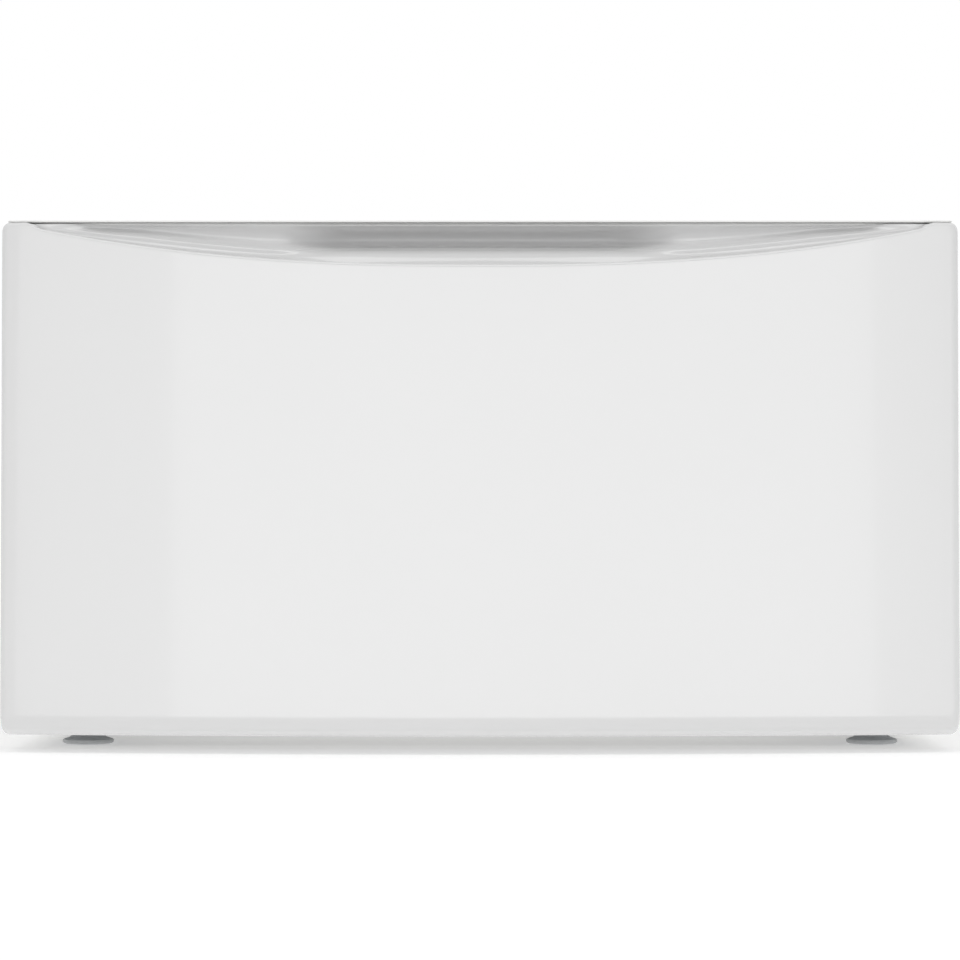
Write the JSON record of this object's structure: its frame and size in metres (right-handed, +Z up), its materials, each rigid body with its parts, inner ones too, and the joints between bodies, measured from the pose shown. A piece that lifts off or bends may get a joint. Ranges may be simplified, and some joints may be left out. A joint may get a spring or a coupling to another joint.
{
  "type": "washer pedestal drawer",
  "caption": "White laundry pedestal with a bowed drawer front, scooped finger pull, deep steel drawer on ball bearing slides and levelling feet.",
  "frame": {"origin": "on the floor under the middle of the part's box", "axes": "+Z up, the drawer front faces -Y, +X to the right seen from the front"},
  "size_m": [0.686, 0.635, 0.381],
  "materials": {
    "front_gloss_white": "white, smooth high gloss",
    "deck_enamel": "white baked enamel, gloss",
    "cabinet_powder_coat": "white powder coat, satin with faint orange peel",
    "box_powder_coat": "white powder coat, satin",
    "zinc_plated_steel": "bright zinc plate",
    "cage_steel": "plain steel strip",
    "ball_steel": "polished",
    "fastener_zinc": "zinc plate",
    "lever_nylon": "moulded black nylon",
    "pad_plastic": "moulded grey plastic",
    "bumper_rubber": "matt black"
  },
  "bodies": {
    "cabinet": {"left_side_panel": "cabinet_powder_coat", "right_side_panel": "cabinet_powder_coat", "back_panel": "cabinet_powder_coat", "top_deck": "deck_enamel", "front_top_rail": "cabinet_powder_coat", "rear_top_rail": "cabinet_powder_coat", "front_bottom_rail": "cabinet_powder_coat", "rear_bottom_rail": "cabinet_powder_coat", "foot_brackets": "zinc_plated_steel", "weld_nuts": "fastener_zinc", "lock_nuts": "fastener_zinc", "left_slide_support": "zinc_plated_steel", "right_slide_support": "zinc_plated_steel", "left_outer_rail": "zinc_plated_steel", "right_outer_rail": "zinc_plated_steel", "slide_rivets": "fastener_zinc", "back_screws": "fastener_zinc"},
    "drawer": {"left_inner_rail": "zinc_plated_steel", "right_inner_rail": "zinc_plated_steel", "drawer_front": "front_gloss_white", "finger_pull": "front_gloss_white", "front_inner_panel": "box_powder_coat", "box_front": "box_powder_coat", "box_left_side": "box_powder_coat", "box_right_side": "box_powder_coat", "box_back": "box_powder_coat", "box_floor": "box_powder_coat", "box_screws": "fastener_zinc", "front_screws": "fastener_zinc", "drawer_bumpers": "bumper_rubber"},
    "left_outer_cage_set": {"left_outer_cage": "cage_steel", "left_outer_balls": "ball_steel"},
    "right_outer_cage_set": {"right_outer_cage": "cage_steel", "right_outer_balls": "ball_steel"},
    "left_middle_rail_set": {"left_middle_rail": "zinc_plated_steel"},
    "right_middle_rail_set": {"right_middle_rail": "zinc_plated_steel"},
    "left_inner_cage_set": {"left_inner_cage": "cage_steel", "left_inner_balls": "ball_steel"},
    "right_inner_cage_set": {"right_inner_cage": "cage_steel", "right_inner_balls": "ball_steel"},
    "left_lever": {"left_release_lever": "lever_nylon"},
    "right_lever": {"right_release_lever": "lever_nylon"},
    "front_left_pad": {"front_left_foot_pad": "pad_plastic"},
    "front_left_stud": {"front_left_foot_stud": "fastener_zinc"},
    "front_right_pad": {"front_right_foot_pad": "pad_plastic"},
    "front_right_stud": {"front_right_foot_stud": "fastener_zinc"},
    "rear_left_pad": {"rear_left_foot_pad": "pad_plastic"},
    "rear_left_stud": {"rear_left_foot_stud": "fastener_zinc"},
    "rear_right_pad": {"rear_right_foot_pad": "pad_plastic"},
    "rear_right_stud": {"rear_right_foot_stud": "fastener_zinc"}
  },
  "joints": [
    {"name": "drawer_slide", "type": "slide", "parent": "cabinet", "child": "drawer", "axis": [0, -1, 0], "range_m": [0, 0.48]},
    {"name": "left_middle_rail_slide", "type": "slide", "parent": "cabinet", "child": "left_middle_rail_set", "axis": [0, -1, 0], "range_m": [0, 0.24]},
    {"name": "left_outer_cage_slide", "type": "slide", "parent": "cabinet", "child": "left_outer_cage_set", "axis": [0, -1, 0], "range_m": [0, 0.12]},
    {"name": "left_inner_cage_slide", "type": "slide", "parent": "cabinet", "child": "left_inner_cage_set", "axis": [0, -1, 0], "range_m": [0, 0.36]},
    {"name": "left_lever_pivot", "type": "hinge", "parent": "drawer", "child": "left_lever", "pos_m": [-0.2987, 0.0473, 0.15], "axis": [-1, 0, 0], "range_deg": [0, 8]},
    {"name": "right_middle_rail_slide", "type": "slide", "parent": "cabinet", "child": "right_middle_rail_set", "axis": [0, -1, 0], "range_m": [0, 0.24]},
    {"name": "right_outer_cage_slide", "type": "slide", "parent": "cabinet", "child": "right_outer_cage_set", "axis": [0, -1, 0], "range_m": [0, 0.12]},
    {"name": "right_inner_cage_slide", "type": "slide", "parent": "cabinet", "child": "right_inner_cage_set", "axis": [0, -1, 0], "range_m": [0, 0.36]},
    {"name": "right_lever_pivot", "type": "hinge", "parent": "drawer", "child": "right_lever", "pos_m": [0.2987, 0.0473, 0.15], "axis": [-1, 0, 0], "range_deg": [0, 8]},
    {"name": "front_left_stud_turn", "type": "hinge", "parent": "front_left_pad", "child": "front_left_stud", "pos_m": [-0.29, -0.1705, 0.02], "axis": [0, 0, -1], "range_deg": [0, 4800]},
    {"name": "front_left_foot_travel", "type": "slide", "parent": "cabinet", "child": "front_left_pad", "axis": [0, 0, -1], "range_m": [0, 0.0225]},
    {"name": "front_right_stud_turn", "type": "hinge", "parent": "front_right_pad", "child": "front_right_stud", "pos_m": [0.29, -0.1705, 0.02], "axis": [0, 0, -1], "range_deg": [0, 4800]},
    {"name": "front_right_foot_travel", "type": "slide", "parent": "cabinet", "child": "front_right_pad", "axis": [0, 0, -1], "range_m": [0, 0.0225]},
    {"name": "rear_left_stud_turn", "type": "hinge", "parent": "rear_left_pad", "child": "rear_left_stud", "pos_m": [-0.29, 0.2639, 0.02], "axis": [0, 0, -1], "range_deg": [0, 4800]},
    {"name": "rear_left_foot_travel", "type": "slide", "parent": "cabinet", "child": "rear_left_pad", "axis": [0, 0, -1], "range_m": [0, 0.0225]},
    {"name": "rear_right_stud_turn", "type": "hinge", "parent": "rear_right_pad", "child": "rear_right_stud", "pos_m": [0.29, 0.2639, 0.02], "axis": [0, 0, -1], "range_deg": [0, 4800]},
    {"name": "rear_right_foot_travel", "type": "slide", "parent": "cabinet", "child": "rear_right_pad", "axis": [0, 0, -1], "range_m": [0, 0.0225]}
  ],
  "couplings": [
    {"joint": "left_middle_rail_slide", "follows": "drawer_slide", "ratio": 0.5},
    {"joint": "left_outer_cage_slide", "follows": "drawer_slide", "ratio": 0.25},
    {"joint": "left_inner_cage_slide", "follows": "drawer_slide", "ratio": 0.75},
    {"joint": "right_middle_rail_slide", "follows": "drawer_slide", "ratio": 0.5},
    {"joint": "right_outer_cage_slide", "follows": "drawer_slide", "ratio": 0.25},
    {"joint": "right_inner_cage_slide", "follows": "drawer_slide", "ratio": 0.75},
    {"joint": "front_left_foot_travel", "follows": "front_left_stud_turn", "m_per_rad": 0.00023873},
    {"joint": "front_right_foot_travel", "follows": "front_right_stud_turn", "m_per_rad": 0.00023873},
    {"joint": "rear_left_foot_travel", "follows": "rear_left_stud_turn", "m_per_rad": 0.00023873},
    {"joint": "rear_right_foot_travel", "follows": "rear_right_stud_turn", "m_per_rad": 0.00023873}
  ]
}
